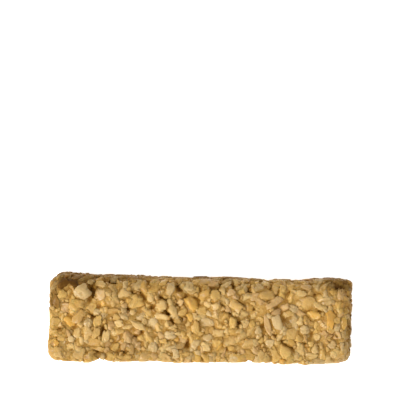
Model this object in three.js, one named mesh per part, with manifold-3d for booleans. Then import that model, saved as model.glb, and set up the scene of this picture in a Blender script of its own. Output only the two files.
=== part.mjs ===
// An unwrapped energy bar: chopped nuts, puffed cereal and a few bits of dried fruit, bound with
// syrup and pressed in a mould into one block. It lies flat, with its broad face up.
// The bar is a single solid: a core with the larger bits fused on, each lying against the walls of
// the mould. Units are millimetres. +X runs along the bar, +Y across it and +Z up, and the origin is
// at the middle of the base.

import * as THREE from "three";
import { mergeVertices } from "three/addons/utils/BufferGeometryUtils.js";
import Module from "manifold-3d";

// ---- Driving dimensions -------------------------------------------------------------------------

const LENGTH = 105;
const WIDTH = 30;
const THICKNESS = 16;

// The mould's corners seen from above, which came out unevenly full.
const CORNER_RADIUS = { backLeft: 4.5, backRight: 1.8, frontLeft: 4.2, frontRight: 3.6 };
const TOP_EDGE_RADIUS = 2.2;
const BASE_EDGE_RADIUS = 1.2;

const TAPER = 0.6; // how much narrower the right end is than the middle, and the left end wider
const END_HOLLOW = 1.1; // how far the middle of the left end is sunk
const EDGE_WAVE = 0.25; // how far the long sides wander in and out
const EDGE_WAVE_LENGTH = 37;
const TOP_WAVE = 0.3; // how far the broad face rises and falls
const TOP_WAVE_LENGTH = 46;

// The core lies this far inside the mould, and its base is the bar's base.
const CORE_DEPTH = 1.3;
const CORE_PITCH = 5; // spacing of the core's grid

// Bits from the largest to the smallest: how many are laid and their size.
const BIT_SIZES = [
  { count: 24, size: 6.0 },
  { count: 62, size: 5.2 },
  { count: 90, size: 4.5 },
  { count: 96, size: 3.8 },
];
const BIT_SPACING = 0.9; // how far apart two bits lie, as a share of their mean size
const TRIES_PER_BIT = 60;
const BIT_LEAN = 17; // how far a bit may lean from lying flat against the mould, in degrees
const CORNER_STRAY = 0.15; // how far a bit's corners stray, as a share of its size
const DEEPEST_BIT = 0.6; // how far inside the mould a bit may stop short of it
const FOOT_CLEARANCE = 0.5; // bits start this far above the base, which is pressed flat
const PRESSES = 8; // how often a bit is pushed straight in where it stands out furthest
const SEED = 40961;

// Bits that stand out on the broad face: where their middle is, their length and width, and the
// turn of their long side from +X in degrees.
const NOTABLE_BITS = [
  { x: -40.8, y: 8.5, length: 6.6, width: 6.2, turn: 20 },
  { x: -34.8, y: 7.9, length: 4.8, width: 4.5, turn: 70 },
  { x: -26.3, y: 8.3, length: 4.8, width: 4.3, turn: -30 },
  { x: -29.1, y: -10.6, length: 4.8, width: 4.6, turn: 15 },
  { x: -24.8, y: -6.4, length: 4.8, width: 4.3, turn: 80 },
  { x: -21.3, y: -2.4, length: 5.9, width: 2.7, turn: -18 },
  { x: -13.8, y: 4.4, length: 4.8, width: 4.3, turn: 35 },
  { x: -13.5, y: 0.3, length: 5.1, width: 3.1, turn: -8 },
  { x: -10.2, y: -5.7, length: 4.8, width: 3.8, turn: 10 },
  { x: -2.9, y: 5.3, length: 5.5, width: 4.5, turn: 95 },
  { x: -1.3, y: -2.8, length: 5.3, width: 3.4, turn: 88 },
  { x: 2.2, y: -9.6, length: 4.1, width: 3.8, turn: -25 },
  { x: 12.3, y: 4.9, length: 4.8, width: 3.6, turn: -40 },
  { x: 11.5, y: -0.7, length: 5.3, width: 3.1, turn: 85 },
  { x: 22.9, y: 9.2, length: 5.9, width: 4.1, turn: 4 },
  { x: 25.6, y: 6.3, length: 7.2, width: 2.9, turn: 34 },
  { x: 23.3, y: -1.5, length: 7.9, width: 2.4, turn: -72 },
  { x: 29.3, y: -10.2, length: 6.2, width: 4.6, turn: -60 },
  { x: 36.6, y: -3.2, length: 4.3, width: 4.3, turn: 0 },
  { x: 44.6, y: 0.8, length: 6.8, width: 3.1, turn: 84 },
  { x: 38.5, y: -12.3, length: 5.5, width: 2.7, turn: 0 },
  { x: 49.4, y: 9.6, length: 4.6, width: 3.6, turn: 90 },
];
const NOTABLE_DEPTH = 3.6; // how thick they are, from top to underside

// ---- Random draws -------------------------------------------------------------------------------

// A seeded source of numbers from 0 to 1, so that the bar comes out the same each time.
function seededRandom(seed) {
  let state = seed >>> 0;
  return () => {
    state = (state + 0x6d2b79f5) >>> 0;
    let t = state;
    t = Math.imul(t ^ (t >>> 15), t | 1);
    t ^= t + Math.imul(t ^ (t >>> 7), t | 61);
    return ((t ^ (t >>> 14)) >>> 0) / 4294967296;
  };
}

const random = seededRandom(SEED);
const between = (low, high) => low + (high - low) * random();

// ---- The mould's form ---------------------------------------------------------------------------

// Distance from a rounded edge between two faces, given how far outside each face a point lies.
// It is negative inside.
function roundedDistance(a, b, radius) {
  const outside = Math.hypot(Math.max(a + radius, 0), Math.max(b + radius, 0));
  return outside + Math.min(Math.max(a + radius, b + radius), 0) - radius;
}

// Distance from the bar's outline as seen from above.
function outlineDistance(x, y) {
  const radius = CORNER_RADIUS[(y > 0 ? "back" : "front") + (x > 0 ? "Right" : "Left")];
  const hollow = x < 0 ? END_HOLLOW * Math.cos(Math.PI * Math.min(Math.abs(y) / WIDTH, 0.5)) : 0;
  const wave = EDGE_WAVE * Math.sin((2 * Math.PI * x) / EDGE_WAVE_LENGTH + (y > 0 ? 0 : 2));
  const halfWidth = WIDTH / 2 - (TAPER * x) / LENGTH + wave - EDGE_WAVE;
  return roundedDistance(Math.abs(x) - LENGTH / 2 + hollow, Math.abs(y) - halfWidth, radius);
}

// Distance from the mould's whole inner surface.
function mouldDistance({ x, y, z }) {
  const wave = TOP_WAVE * Math.sin((2 * Math.PI * x) / TOP_WAVE_LENGTH + y / 9);
  const top = THICKNESS - TOP_WAVE + wave;
  return z > THICKNESS / 2
    ? roundedDistance(outlineDistance(x, y), z - top, TOP_EDGE_RADIUS)
    : roundedDistance(outlineDistance(x, y), -z, BASE_EDGE_RADIUS);
}

// The direction straight out through the mould at a point.
function mouldNormal(point) {
  const step = 0.05;
  const slope = (axis) => {
    const ahead = point.clone();
    const behind = point.clone();
    ahead[axis] += step;
    behind[axis] -= step;
    return mouldDistance(ahead) - mouldDistance(behind);
  };
  return new THREE.Vector3(slope("x"), slope("y"), slope("z")).normalize();
}

// The point at a distance from the mould that is met on the way out from the bar's spine through
// the given point.
function onMould(through, distance) {
  const spine = new THREE.Vector3(
    THREE.MathUtils.clamp(through.x, (WIDTH - LENGTH) / 2, (LENGTH - WIDTH) / 2),
    THREE.MathUtils.clamp(through.y, (THICKNESS - WIDTH) / 2, (WIDTH - THICKNESS) / 2),
    THICKNESS / 2,
  );
  const ray = through.clone().sub(spine).normalize();
  let near = 0;
  let far = WIDTH;
  for (let i = 0; i < 32; i++) {
    const half = (near + far) / 2;
    if (mouldDistance(spine.clone().addScaledVector(ray, half)) < distance) near = half;
    else far = half;
  }
  return spine.addScaledVector(ray, near);
}

// ---- Solids -------------------------------------------------------------------------------------

const wasm = await Module();
wasm.setup();

// A geometry with one vertex at each corner.
function joined(geometry) {
  geometry.deleteAttribute("normal");
  geometry.deleteAttribute("uv");
  return mergeVertices(geometry);
}

function solidOf(geometry) {
  return new wasm.Manifold(
    new wasm.Mesh({
      numProp: 3,
      vertProperties: new Float32Array(geometry.getAttribute("position").array),
      triVerts: new Uint32Array(geometry.index.array),
    }),
  );
}

// The geometry of a solid, with the middle of its base at the origin.
function geometryOf(solid) {
  const mesh = solid.getMesh();
  const geometry = new THREE.BufferGeometry();
  geometry.setAttribute("position", new THREE.BufferAttribute(mesh.vertProperties, 3));
  geometry.setIndex(new THREE.BufferAttribute(mesh.triVerts, 1));
  geometry.computeBoundingBox();
  const { min, max } = geometry.boundingBox;
  geometry.translate(-(min.x + max.x) / 2, -(min.y + max.y) / 2, -min.z);
  geometry.computeVertexNormals();
  return geometry;
}

// Moves each vertex of a geometry to where the given function puts it.
function reshape(geometry, moved) {
  const position = geometry.getAttribute("position");
  for (let i = 0; i < position.count; i++) {
    const point = moved(new THREE.Vector3().fromBufferAttribute(position, i));
    position.setXYZ(i, point.x, point.y, point.z);
  }
  return geometry;
}

// The core: a gridded box drawn onto the surface that lies inside the mould, flat underneath.
function coreSolid() {
  const cells = [LENGTH, WIDTH, THICKNESS].map((size) => Math.round(size / CORE_PITCH));
  const box = joined(new THREE.BoxGeometry(LENGTH, WIDTH, THICKNESS, ...cells));
  box.translate(0, 0, THICKNESS / 2);
  const core = reshape(box, (point) => {
    const inner = onMould(point, -CORE_DEPTH);
    if (point.z === 0) inner.z = 0;
    return inner;
  });
  return solidOf(core);
}

// ---- Bits ---------------------------------------------------------------------------------------

// The shapes that chopping leaves, one unit across and few-sided: blocks, wedges and, for the
// puffed grains, rounder ones. Blocks come twice as often.
const BIT_SHAPES = [
  () => joined(new THREE.BoxGeometry(0.9, 0.9, 0.9)),
  () => joined(new THREE.BoxGeometry(0.9, 0.9, 0.9)),
  () => joined(new THREE.CylinderGeometry(0.58, 0.58, 0.85, 3)).rotateX(Math.PI / 2),
  () => joined(new THREE.CylinderGeometry(0.53, 0.42, 0.85, 5)).rotateX(Math.PI / 2),
];

// Moves a bit until its outermost corner is at a distance from the mould, each time straight in or
// out at that corner.
function pressed(geometry, distance) {
  const position = geometry.getAttribute("position");
  for (let pass = 0; pass < PRESSES; pass++) {
    const corners = Array.from({ length: position.count }, (_, i) =>
      new THREE.Vector3().fromBufferAttribute(position, i),
    );
    const outermost = corners.reduce((a, b) => (mouldDistance(b) > mouldDistance(a) ? b : a));
    const move = mouldNormal(outermost).multiplyScalar(distance - mouldDistance(outermost));
    geometry.translate(move.x, move.y, move.z);
  }
  return geometry;
}

// A bit of the given shape and size, laid against the mould at a place: turned about the normal
// there, then leaning over.
function bitSolid(shape, size, place, turn, lean, distance) {
  const bit = reshape(shape(), (corner) => {
    for (const axis of ["x", "y", "z"]) corner[axis] += between(-CORNER_STRAY, CORNER_STRAY);
    return corner.multiply(size);
  });
  const up = new THREE.Vector3(0, 0, 1);
  const heading = 2 * Math.PI * random();
  const leanAxis = new THREE.Vector3(Math.cos(heading), Math.sin(heading), 0);
  bit.applyQuaternion(new THREE.Quaternion().setFromAxisAngle(up, turn));
  bit.applyQuaternion(new THREE.Quaternion().setFromAxisAngle(leanAxis, lean));
  bit.applyQuaternion(new THREE.Quaternion().setFromUnitVectors(up, mouldNormal(place)));
  bit.translate(place.x, place.y, place.z);
  return solidOf(pressed(bit, distance));
}

// A random place on the broad face, the long sides or the ends, in proportion to their areas.
function anyPlace() {
  const areas = [LENGTH * WIDTH, 2 * LENGTH * THICKNESS, 2 * WIDTH * THICKNESS];
  const pick = random() * (areas[0] + areas[1] + areas[2]);
  const place = new THREE.Vector3(
    between(-LENGTH / 2, LENGTH / 2),
    between(-WIDTH / 2, WIDTH / 2),
    between(FOOT_CLEARANCE, THICKNESS),
  );
  const sign = random() < 0.5 ? -1 : 1;
  if (pick < areas[0]) place.z = THICKNESS;
  else if (pick < areas[0] + areas[1]) place.y = (sign * WIDTH) / 2;
  else place.x = (sign * LENGTH) / 2;
  return onMould(place, 0);
}

const laid = []; // the place and reach of each bit so far

// Whether a bit of the given reach has room at a place.
function hasRoom(place, reach) {
  return laid.every(
    (other) => place.distanceTo(other.place) > (BIT_SPACING * (reach + other.reach)) / 2,
  );
}

function notableBits() {
  return NOTABLE_BITS.map(({ x, y, length, width, turn }) => {
    const place = onMould(new THREE.Vector3(x, y, THICKNESS), 0);
    laid.push({ place, reach: (length + width) / 2 });
    const size = new THREE.Vector3(length, width, NOTABLE_DEPTH);
    return bitSolid(BIT_SHAPES[0], size, place, THREE.MathUtils.degToRad(turn), 0, 0);
  });
}

// The other bits, the largest first, each set down at random where it has room.
function scatteredBits() {
  const bits = [];
  for (const { count, size } of BIT_SIZES) {
    let left = count;
    for (let tries = count * TRIES_PER_BIT; tries > 0 && left > 0; tries--) {
      const place = anyPlace();
      if (!hasRoom(place, size)) continue;
      laid.push({ place, reach: size });
      left--;
      const shape = BIT_SHAPES[Math.floor(BIT_SHAPES.length * random())];
      const sides = new THREE.Vector3(size, size * between(0.7, 1), size * between(0.6, 0.85));
      const lean = THREE.MathUtils.degToRad(between(0, BIT_LEAN));
      const turn = between(0, 2 * Math.PI);
      bits.push(bitSolid(shape, sides, place, turn, lean, -between(0, DEEPEST_BIT)));
    }
  }
  return bits;
}

// ---- The bar ------------------------------------------------------------------------------------

function barGeometry() {
  const bits = [...notableBits(), ...scatteredBits()];
  const heaped = bits.reduce((whole, bit) => whole.add(bit), coreSolid());
  // The largest body is the bar. The others are loose scraps, and sealed hollows, which fill.
  const bodies = heaped.decompose();
  return geometryOf(bodies.reduce((a, b) => (b.volume() > a.volume() ? b : a)));
}

const bar = new THREE.Mesh(
  barGeometry(),
  new THREE.MeshStandardMaterial({ color: 0xc2995b, roughness: 0.6, metalness: 0 }),
);
bar.name = "pressed_bar";

const part = new THREE.Group();
part.add(bar);

export default part;
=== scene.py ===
"""An unwrapped energy bar: chopped nuts, puffed grains and dried fruit in syrup, pressed flat.

The bar's form comes from the mould that it was pressed in. A layer of bits is laid deeper in, then
the bits that stand out, and then the others from the largest to the smallest. Each is turned and
leans as it fell, is pressed flat where it meets the mould, and gives way to the dark hollows. The
syrup that binds them fills what is left. Lengths are in millimetres until a mesh is made.
"""

import logging
import math
from dataclasses import dataclass, field
from enum import Enum

import bmesh
import bpy
import numpy as np
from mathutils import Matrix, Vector
from mathutils.bvhtree import BVHTree
from mathutils.kdtree import KDTree


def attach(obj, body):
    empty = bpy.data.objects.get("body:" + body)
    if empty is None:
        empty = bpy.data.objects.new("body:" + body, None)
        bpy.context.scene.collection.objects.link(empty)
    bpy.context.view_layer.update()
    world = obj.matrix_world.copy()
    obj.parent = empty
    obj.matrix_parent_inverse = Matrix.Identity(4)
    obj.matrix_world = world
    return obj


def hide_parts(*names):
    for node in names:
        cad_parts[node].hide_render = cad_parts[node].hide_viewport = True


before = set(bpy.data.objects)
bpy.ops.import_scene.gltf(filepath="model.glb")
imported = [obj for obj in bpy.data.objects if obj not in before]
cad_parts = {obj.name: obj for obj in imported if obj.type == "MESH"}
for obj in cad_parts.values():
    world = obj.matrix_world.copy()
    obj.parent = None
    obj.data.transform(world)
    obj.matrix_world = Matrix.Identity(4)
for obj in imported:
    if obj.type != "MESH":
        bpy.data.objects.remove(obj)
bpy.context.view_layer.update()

MM = 0.001
NODE = "pressed_bar"
BODY = "root"
SEED = 7441

Colour = tuple[float, float, float]  # red, green and blue, linear
Place = tuple[float, float, float]  # x, y and z
Sides = tuple[float, float, float]  # length, width and thickness
Span = tuple[float, float]  # the least and the most
Layer = tuple[float, float]  # wavelength and height
Given = float | Colour | bpy.types.NodeSocket

log = logging.getLogger("energy_bar")


# ---- Unevenness ---------------------------------------------------------------------------------


@dataclass(frozen=True)
class Ripple:
    """Smooth unevenness, made of plane waves that cross each other."""

    waves: np.ndarray
    phases: np.ndarray

    @classmethod
    def drawn(cls, rng: np.random.Generator, wavelength: float, count: int = 18) -> "Ripple":
        """Draw the waves.

        Args:
            rng: the source of random draws.
            wavelength: the middle one of the wavelengths.
            count: how many waves there are.

        Returns:
            The ripple.
        """
        shortest, longest = 0.6, 1.5
        headings = unit(rng.normal(size=(count, 3)))
        lengths = wavelength * rng.uniform(shortest, longest, size=(count, 1))
        return cls(2 * math.pi * headings / lengths, rng.uniform(0, 2 * math.pi, count))

    def at(self, points: np.ndarray) -> np.ndarray:
        """Give the height at points.

        Args:
            points: rows of x, y and z.

        Returns:
            A height for each point, mostly from -2 to 2.
        """
        total = np.sin(points @ self.waves.T + self.phases).sum(axis=1)
        return total * math.sqrt(2 / len(self.phases))


def unit(vectors: np.ndarray) -> np.ndarray:
    """Scale vectors to length 1.

    Args:
        vectors: rows of x, y and z.

    Returns:
        Rows of the same directions.
    """
    return vectors / np.maximum(np.linalg.norm(vectors, axis=-1, keepdims=True), 1e-9)


def soft_cap(values: np.ndarray, cap: np.ndarray | float, width: float) -> np.ndarray:
    """Hold values below a cap, bending into it instead of stopping short.

    Args:
        values: the values.
        cap: the highest that each may be.
        width: how gradually the bend is made.

    Returns:
        The capped values.
    """
    return cap - width * np.logaddexp(0, (cap - values) / width)


# ---- The mould ----------------------------------------------------------------------------------


@dataclass(frozen=True)
class Mould:
    """The form that the bar was pressed in, with its base at z = 0 and its long side along x."""

    length: float = 105.8
    width: float = 29.6
    thickness: float = 16.0
    back_left: float = 4.5
    back_right: float = 1.2
    front_left: float = 4.2
    front_right: float = 3.6
    set_forward: float = 0.6
    top_edge: float = 1.8
    far_edge: float = 5.6
    edge_blend: float = 11.0
    base_edge: float = 1.2
    taper: float = 0.6
    end_hollow: float = 0.7
    left_swell: float = 0.9
    right_swell: float = 0.6
    swell_place: float = 46.0
    swell_reach: float = 7.0
    nick_place: float = -34.3
    nick_reach: float = 2.2
    nick_depth: float = 0.9
    edge_wave: float = 0.25
    edge_wave_length: float = 37.0
    edge_wave_shift: float = 2.0
    top_wave: float = 0.3
    top_wave_length: float = 46.0
    top_wave_slant: float = 9.0
    hills: Ripple | None = None
    hill_height: float = 0.28
    hill_fade: float = 5.0
    hill_inset: float = 4.5
    least_hill: float = 0.25
    slope_step: float = 0.05
    halvings: int = 26

    @staticmethod
    def rounded(a: np.ndarray, b: np.ndarray, radius: np.ndarray | float) -> np.ndarray:
        """Measure how far points are outside a rounded edge between two faces.

        Args:
            a: how far they are outside the first face.
            b: how far they are outside the second face.
            radius: the edge's radius.

        Returns:
            The distance, negative inside.
        """
        a, b = a + radius, b + radius
        return np.hypot(np.maximum(a, 0), np.maximum(b, 0)) + np.minimum(np.maximum(a, b), 0) - radius

    def outline(self, x: np.ndarray, y: np.ndarray) -> np.ndarray:
        """Measure how far points are outside the outline seen from above.

        Args:
            x: their places along the bar.
            y: their places across it.

        Returns:
            The distance, negative inside.
        """
        y = y + self.set_forward
        left = np.where(y > 0, self.back_left, self.front_left)
        right = np.where(y > 0, self.back_right, self.front_right)
        across = np.minimum(np.abs(y) / self.width, 0.5)
        hollow = np.where(x < 0, self.end_hollow * np.cos(math.pi * across), 0)
        turn = 2 * math.pi * x / self.edge_wave_length + np.where(y > 0, 0, self.edge_wave_shift)
        half = self.width / 2 - self.taper * x / self.length + self.edge_wave * (np.sin(turn) - 1)
        swell = np.where(x < 0, self.left_swell, self.right_swell) * (y > 0)
        half = half + swell * np.exp(-(((np.abs(x) - self.swell_place) / self.swell_reach) ** 2))
        nick = self.nick_depth * (y < 0)
        half = half - nick * np.exp(-(((x - self.nick_place) / self.nick_reach) ** 2))
        return self.rounded(
            np.abs(x) - self.length / 2 + hollow, np.abs(y) - half, np.where(x > 0, right, left)
        )

    def distance(self, points: np.ndarray) -> np.ndarray:
        """Measure how far points are outside the mould.

        Args:
            points: rows of x, y and z.

        Returns:
            The distance, negative inside.
        """
        x, y, z = points.T
        turn = 2 * math.pi * x / self.top_wave_length + y / self.top_wave_slant
        top = self.thickness + self.top_wave * (np.sin(turn) - 1)
        side = self.outline(x, y)
        back = 1 + (y + self.set_forward - self.width / 2) / self.edge_blend
        right = 1 + (x - self.length / 2) / self.edge_blend
        far = np.clip(np.maximum(back, right), 0, 1)
        upper = self.rounded(side, z - top, self.top_edge + (self.far_edge - self.top_edge) * far)
        lower = self.rounded(side, -z, self.base_edge)
        even = np.where(z > self.thickness / 2, upper, lower)
        if self.hills is None:
            return even
        fade = np.clip(z / self.hill_fade, 0, 1) * np.clip(-side / self.hill_inset, self.least_hill, 1)
        return even - self.hill_height * fade * self.hills.at(points)

    def normal(self, points: np.ndarray) -> np.ndarray:
        """Give the direction straight out through the mould at points.

        Args:
            points: rows of x, y and z.

        Returns:
            Rows of directions of length 1.
        """
        steps = self.slope_step * np.eye(3)
        slopes = [self.distance(points + step) - self.distance(points - step) for step in steps]
        return unit(np.stack(slopes, axis=1))

    def onto(self, through: np.ndarray, distance: np.ndarray | float = 0.0) -> np.ndarray:
        """Find where the mould is met on the way out from the bar's spine through points.

        Args:
            through: rows of x, y and z.
            distance: how far outside the mould to stop, negative inside.

        Returns:
            Rows of the points met.
        """
        reach = np.array([self.length - self.width, self.width - self.thickness, 0.0]) / 2
        middle = np.array([0.0, 0.0, self.thickness / 2])
        spine = middle + np.clip(through - middle, -reach, reach)
        ray = unit(through - spine)
        near = np.zeros(len(through))
        far = np.full(len(through), self.width)
        for _ in range(self.halvings):
            half = (near + far) / 2
            inside = self.distance(spine + ray * half[:, None]) < distance
            near = np.where(inside, half, near)
            far = np.where(inside, far, half)
        return spine + ray * near[:, None]

    def press(self, points: np.ndarray, level: np.ndarray, softness: float = 0.1) -> np.ndarray:
        """Push points in where they stand out past a level.

        Args:
            points: rows of x, y and z.
            level: how far outside the mould each may be, negative inside.
            softness: how gradually the bend is made.

        Returns:
            Rows of the moved points.
        """
        distance = self.distance(points)
        inward = soft_cap(distance, level, softness) - distance
        pressed = points + self.normal(points) * inward[:, None]
        pressed[:, 2] = np.maximum(pressed[:, 2], 0.0)
        return pressed


# ---- The shapes of bits -------------------------------------------------------------------------


class Cut(Enum):
    """How a bit came about, which sets its shape."""

    LUMP = "lump"
    CHUNK = "chunk"
    SLIVER = "sliver"
    FLAKE = "flake"
    PUFF = "puff"
    FRUIT = "fruit"
    SKIN = "skin"


@dataclass(frozen=True)
class Shape:
    """A bit's mesh, one unit long, wide and thick, about its middle."""

    points: np.ndarray
    triangles: np.ndarray


@dataclass
class Carver:
    """Carves the shapes that bits are made from, each in a finer and a coarser mesh."""

    rng: np.random.Generator
    ball_steps: int = 5
    detail: tuple[int, ...] = (930, 466, 236, 98)
    lump_fullness: Span = (2.2, 3.0)
    lump_stretch: Span = (0.85, 1.15)
    lump_bulge: Layer = (1.7, 0.09)
    lump_grain: tuple[Layer, ...] = ((0.85, 0.06), (0.45, 0.03), (0.22, 0.012))
    chunk_fullness: Span = (2.4, 3.4)
    chunk_stretch: Span = (0.85, 1.2)
    chunk_grain: tuple[Layer, ...] = ((0.9, 0.05), (0.42, 0.028), (0.22, 0.012))
    most_dents: int = 3
    dent_width: float = 0.32
    dent_depth: float = 0.12
    sliver_sides: Sides = (1.0, 0.5, 0.4)
    sliver_bend: float = 0.25
    sliver_grain: tuple[Layer, ...] = ((0.5, 0.018), (0.16, 0.008))
    flake_sides: Sides = (1.0, 1.0, 0.34)
    flake_curl: float = 0.35
    flake_grain: tuple[Layer, ...] = ((0.6, 0.02), (0.2, 0.01))
    blister_spacing: float = 0.75
    blister_height: float = 0.075
    puff_size: float = 0.86
    crease_width: float = 0.16
    crease_depth: float = 0.16
    puff_grain: tuple[Layer, ...] = ((1.3, 0.05), (0.22, 0.012))
    fruit_size: float = 1.1
    fold_spacing: float = 0.9
    fold_height: float = 0.06
    fruit_grain: tuple[Layer, ...] = ((0.8, 0.035), (0.25, 0.01))
    skin_sides: Sides = (1.0, 1.0, 0.12)
    skin_curl: Span = (0.15, 0.45)
    skin_grain: Layer = (0.4, 0.02)
    patterns: dict[Cut, int] = field(
        default_factory=lambda: {
            Cut.LUMP: 24,
            Cut.CHUNK: 14,
            Cut.SLIVER: 6,
            Cut.FLAKE: 8,
            Cut.PUFF: 8,
            Cut.FRUIT: 6,
            Cut.SKIN: 4,
        }
    )

    def ball(self) -> tuple[np.ndarray, np.ndarray]:
        """Make an evenly divided ball of radius 1.

        Returns:
            Its points and its triangles.
        """
        mesh = bmesh.new()
        bmesh.ops.create_icosphere(mesh, subdivisions=self.ball_steps, radius=1.0)
        points = np.array([v.co[:] for v in mesh.verts])
        triangles = np.array([[v.index for v in f.verts] for f in mesh.faces])
        mesh.free()
        return points, triangles

    @staticmethod
    def filled(ball: np.ndarray, fullness: float) -> np.ndarray:
        """Fill a ball out towards a block: 2 leaves it round, and more makes it squarer."""
        return ball / (np.abs(ball) ** fullness).sum(axis=1, keepdims=True) ** (1 / fullness)

    def sliced(
        self, points: np.ndarray, count: int, low: float, high: float, flatness: float = 0.0,
        edge: float = 0.035,
    ) -> np.ndarray:
        """Cut a shape by planes at random.

        Args:
            points: the shape's points.
            count: how many planes there are.
            low: the least distance of a plane from the middle.
            high: the greatest.
            flatness: how far the planes stand upright, from 0 to 1.
            edge: how rounded the cut edges are.

        Returns:
            The cut shape's points.
        """
        faces = self.rng.normal(size=(count, 3))
        faces[:, 2] *= 1 - flatness
        faces = unit(faces)
        depths = self.rng.uniform(low, high, count)
        passes = 3
        for _ in range(passes):
            for face, depth in zip(faces, depths):
                out = points @ face
                points = points + np.outer(soft_cap(out, depth, edge) - out, face)
        return points

    def roughened(self, points: np.ndarray, *layers: Layer) -> np.ndarray:
        """Make a shape uneven.

        Args:
            points: the shape's points.
            layers: the wavelength and the height of each layer of unevenness.

        Returns:
            The uneven shape's points.
        """
        outward = unit(points)
        for wavelength, height in layers:
            ripple = Ripple.drawn(self.rng, wavelength)
            points = points + outward * (height * ripple.at(points))[:, None]
        return points

    def dented(self, points: np.ndarray) -> np.ndarray:
        """Press a few dents into a shape.

        Args:
            points: the shape's points.

        Returns:
            The dented shape's points.
        """
        for _ in range(int(self.rng.integers(0, self.most_dents + 1))):
            centre = points[self.rng.integers(len(points))]
            away = ((points - centre) ** 2).sum(axis=1) / self.dent_width**2
            points = points * (1 - self.dent_depth * np.exp(-away))[:, None]
        return points

    def lump(self, ball: np.ndarray) -> np.ndarray:
        """Shape a crumbled bit of nut: rounded and knobbly, with few flats.

        Args:
            ball: the points of a ball.

        Returns:
            The bit's points.
        """
        full = self.filled(ball, self.rng.uniform(*self.lump_fullness))
        points = self.roughened(full * self.rng.uniform(*self.lump_stretch, 3), self.lump_bulge)
        points = self.sliced(points, int(self.rng.integers(1, 4)), low=0.6, high=0.9, edge=0.11)
        return self.roughened(self.dented(points), *self.lump_grain)

    def chunk(self, ball: np.ndarray) -> np.ndarray:
        """Shape a chopped bit of nut: flat cut faces beside the nut's round side.

        Args:
            ball: the points of a ball.

        Returns:
            The bit's points.
        """
        stretch = self.rng.uniform(*self.chunk_stretch, 3)
        full = self.filled(ball, self.rng.uniform(*self.chunk_fullness)) * stretch
        points = self.sliced(full, int(self.rng.integers(4, 8)), low=0.6, high=0.95, edge=0.08)
        return self.roughened(self.dented(points), *self.chunk_grain)

    def sliver(self, ball: np.ndarray) -> np.ndarray:
        """Shape a split sliver of nut.

        Args:
            ball: the points of a ball.

        Returns:
            The bit's points.
        """
        points = self.sliced(ball, 9, low=0.3, high=0.75) * self.sliver_sides
        points[:, 1] += self.rng.uniform(-self.sliver_bend, self.sliver_bend) * points[:, 0] ** 2
        return self.roughened(points, *self.sliver_grain)

    def flake(self, ball: np.ndarray) -> np.ndarray:
        """Shape a thin curved flake.

        Args:
            ball: the points of a ball.

        Returns:
            The bit's points.
        """
        points = self.sliced(ball * self.flake_sides, 6, low=0.5, high=0.85, flatness=0.85)
        curl, twist = self.rng.uniform(-self.flake_curl, self.flake_curl, 2)
        points[:, 2] += curl * points[:, 0] ** 2 + twist * points[:, 0] * points[:, 1]
        return self.roughened(points, *self.flake_grain)

    def puff(self, ball: np.ndarray) -> np.ndarray:
        """Shape a puffed grain: a plump body with blisters and a crease.

        Args:
            ball: the points of a ball.

        Returns:
            The bit's points.
        """
        blisters = np.abs(Ripple.drawn(self.rng, self.blister_spacing).at(ball))
        points = ball * (self.puff_size + self.blister_height * blisters)[:, None]
        crease = np.exp(-((ball[:, 1] / self.crease_width) ** 2)) * (ball[:, 2] > 0) * ball[:, 2]
        points = points * (1 - self.crease_depth * crease)[:, None]
        return self.roughened(points, *self.puff_grain)

    def fruit(self, ball: np.ndarray) -> np.ndarray:
        """Shape a diced bit of dried fruit: soft corners and wrinkles.

        Args:
            ball: the points of a ball.

        Returns:
            The bit's points.
        """
        points = self.sliced(ball * self.fruit_size, 5, low=0.65, high=0.9, edge=0.1)
        folds = np.abs(Ripple.drawn(self.rng, self.fold_spacing).at(points))
        points = points * (1 - self.fold_height + self.fold_height * folds)[:, None]
        return self.roughened(points, *self.fruit_grain)

    def skin(self, ball: np.ndarray) -> np.ndarray:
        """Shape a torn scrap of nut skin.

        Args:
            ball: the points of a ball.

        Returns:
            The bit's points.
        """
        thin = ball * self.skin_sides
        points = self.sliced(thin, 5, low=0.45, high=0.85, flatness=0.9, edge=0.02)
        points[:, 2] += self.rng.uniform(*self.skin_curl) * points[:, 0] ** 2
        return self.roughened(points, self.skin_grain)

    def thinned(self, points: np.ndarray, triangles: np.ndarray, count: int) -> Shape:
        """Thin a mesh out to fewer triangles, keeping the edges of its shape.

        Args:
            points: the mesh's points.
            triangles: the mesh's triangles.
            count: about how many triangles to keep.

        Returns:
            The thinned shape, one unit long, wide and thick.
        """
        mesh = bpy.data.meshes.new("carved")
        mesh.from_pydata(points.tolist(), [], triangles.tolist())
        carved = bpy.data.objects.new("carved", mesh)
        bpy.context.scene.collection.objects.link(carved)
        thinner = carved.modifiers.new("thinner", "DECIMATE")
        thinner.ratio = count / len(triangles)
        seen = carved.evaluated_get(bpy.context.evaluated_depsgraph_get())
        result = seen.to_mesh()
        result.calc_loop_triangles()
        kept = np.empty(len(result.vertices) * 3)
        result.vertices.foreach_get("co", kept)
        corners = np.empty(len(result.loop_triangles) * 3, dtype=np.int64)
        result.loop_triangles.foreach_get("vertices", corners)
        seen.to_mesh_clear()
        bpy.data.objects.remove(carved)
        bpy.data.meshes.remove(mesh)
        kept = kept.reshape(-1, 3)
        low, high = kept.min(axis=0), kept.max(axis=0)
        return Shape((kept - (low + high) / 2) / (high - low), corners.reshape(-1, 3))

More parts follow.
